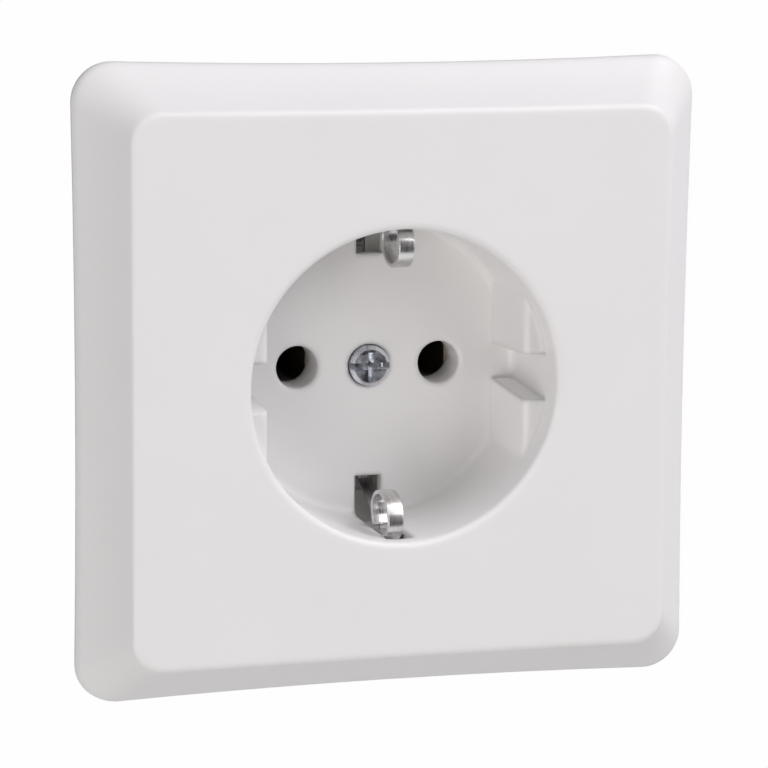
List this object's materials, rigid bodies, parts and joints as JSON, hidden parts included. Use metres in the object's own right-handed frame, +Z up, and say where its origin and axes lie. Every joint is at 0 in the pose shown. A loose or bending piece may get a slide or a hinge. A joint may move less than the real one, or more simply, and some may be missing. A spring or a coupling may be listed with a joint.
{
  "type": "flush wall socket",
  "caption": "Square white flush-mounted earthed wall socket with a round recessed well, earth clips, insert, support frame and spreading claws.",
  "frame": {"origin": "centre of the box screw pattern, on the axis of the plug well in the plane of the wall", "axes": "+Y runs into the wall, the front faces -Y, +Z is up, +X is to the right seen from the front"},
  "size_m": [0.0808, 0.0415, 0.0806],
  "materials": {
    "white_cover": "smooth moulded thermoplastic, satin gloss",
    "grey_moulding": "matt moulded insulating plastic",
    "zinc_sheet": "galvanised sheet steel",
    "zinc_screw": "bright zinc plate with a blue tint",
    "nickel_strip": "polished nickel plate",
    "spring_steel": "blued spring steel",
    "brass": "drawn brass"
  },
  "bodies": {
    "socket": {"cover_plate": "white_cover", "cover_screw": "zinc_screw", "support_ring": "zinc_sheet", "earth_strap": "nickel_strip", "base_body": "grey_moulding", "base_back": "grey_moulding", "carrier_rivet_top": "brass", "carrier_rivet_bottom": "brass", "contact_left": "brass", "contact_right": "brass", "contact_clip_left": "spring_steel", "contact_clip_right": "spring_steel", "terminal_left": "brass", "terminal_right": "brass", "terminal_earth": "brass", "terminal_screw_left": "zinc_screw", "terminal_screw_right": "zinc_screw", "terminal_screw_earth": "zinc_screw", "claw_pin_left": "zinc_screw", "claw_pin_right": "zinc_screw"},
    "spreader_left": {"claw_left": "zinc_sheet"},
    "draw_nut_left": {"claw_nut_left": "zinc_screw"},
    "draw_screw_left": {"claw_screw_left": "zinc_screw"},
    "spreader_right": {"claw_right": "zinc_sheet"},
    "draw_nut_right": {"claw_nut_right": "zinc_screw"},
    "draw_screw_right": {"claw_screw_right": "zinc_screw"}
  },
  "joints": [
    {"name": "claw_screw_left_turn", "type": "hinge", "parent": "socket", "child": "draw_screw_left", "pos_m": [-0.0246, -0.0012, 0], "axis": [0, 1, 0], "range_deg": [0, 1309]},
    {"name": "claw_nut_left_travel", "type": "slide", "parent": "socket", "child": "draw_nut_left", "axis": [0, -1, 0], "range_m": [0, 0.00182]},
    {"name": "claw_left_swing", "type": "hinge", "parent": "socket", "child": "spreader_left", "pos_m": [-0.0205, 0.0151, 0], "axis": [0, 0, 1], "range_deg": [0, 25]},
    {"name": "claw_screw_right_turn", "type": "hinge", "parent": "socket", "child": "draw_screw_right", "pos_m": [0.0246, -0.0012, 0], "axis": [0, 1, 0], "range_deg": [0, 1309]},
    {"name": "claw_nut_right_travel", "type": "slide", "parent": "socket", "child": "draw_nut_right", "axis": [0, -1, 0], "range_m": [0, 0.00182]},
    {"name": "claw_right_swing", "type": "hinge", "parent": "socket", "child": "spreader_right", "pos_m": [0.0205, 0.0151, 0], "axis": [0, 0, -1], "range_deg": [0, 25]}
  ],
  "couplings": [
    {"joint": "claw_screw_left_turn", "follows": "claw_nut_left_travel", "rad_per_m": 12566},
    {"joint": "claw_left_swing", "follows": "claw_nut_left_travel", "rad_per_m": 239.99},
    {"joint": "claw_screw_right_turn", "follows": "claw_nut_right_travel", "rad_per_m": 12566},
    {"joint": "claw_right_swing", "follows": "claw_nut_right_travel", "rad_per_m": 239.99}
  ]
}
